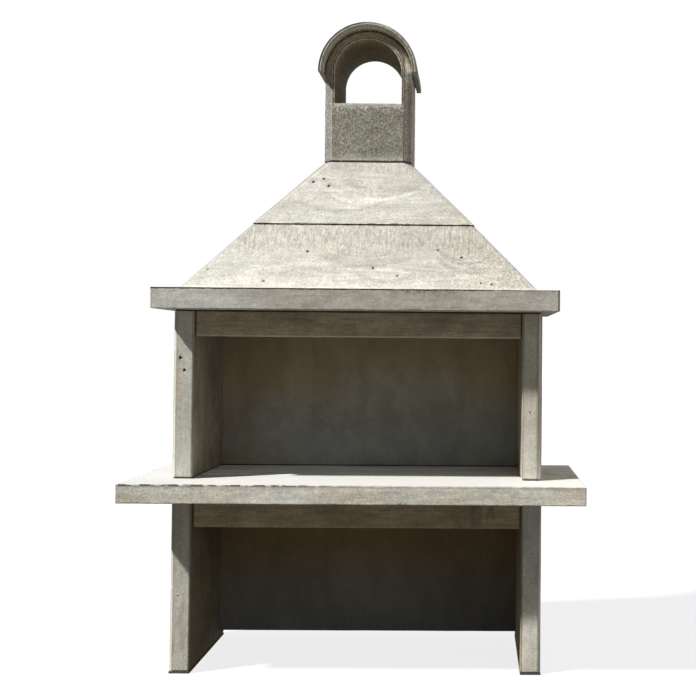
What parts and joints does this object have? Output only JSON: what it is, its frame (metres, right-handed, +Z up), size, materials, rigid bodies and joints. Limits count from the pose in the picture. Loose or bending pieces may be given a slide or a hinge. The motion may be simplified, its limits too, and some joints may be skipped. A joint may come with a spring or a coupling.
{
  "type": "outdoor masonry barbecue",
  "caption": "Outdoor masonry barbecue of cast concrete: wood store, worktop, open fire chamber, cornice, tapered hollow hood and an arched chimney head under a vaulted roof.",
  "frame": {"origin": "on the ground, at the middle of the whole barbecue's footprint", "axes": "+Z up, +X to the right as seen from the front, +Y to the back; the barbecue faces -Y"},
  "size_m": [1.76, 0.724, 2.626],
  "materials": {
    "wall_concrete": "matte",
    "slab_concrete": "matte",
    "hood_concrete": "matte",
    "chimney_concrete": "matte",
    "mortar": "matte"
  },
  "bodies": {
    "root": {"left_foot_bed": "mortar", "right_foot_bed": "mortar", "left_lower_wall": "wall_concrete", "right_lower_wall": "wall_concrete", "lower_back_wall": "wall_concrete", "lower_lintel": "wall_concrete", "worktop_bed": "mortar", "worktop": "slab_concrete", "hearth_bed": "mortar", "left_upper_wall": "wall_concrete", "right_upper_wall": "wall_concrete", "upper_back_wall": "wall_concrete", "upper_lintel": "wall_concrete", "cornice_bed": "mortar", "cornice": "slab_concrete", "hood_bed": "mortar", "lower_hood": "hood_concrete", "hood_joint": "mortar", "upper_hood": "hood_concrete", "chimney_bed": "mortar", "chimney_block": "chimney_concrete", "roof_bed": "mortar", "chimney_roof": "chimney_concrete"}
  },
  "joints": []
}
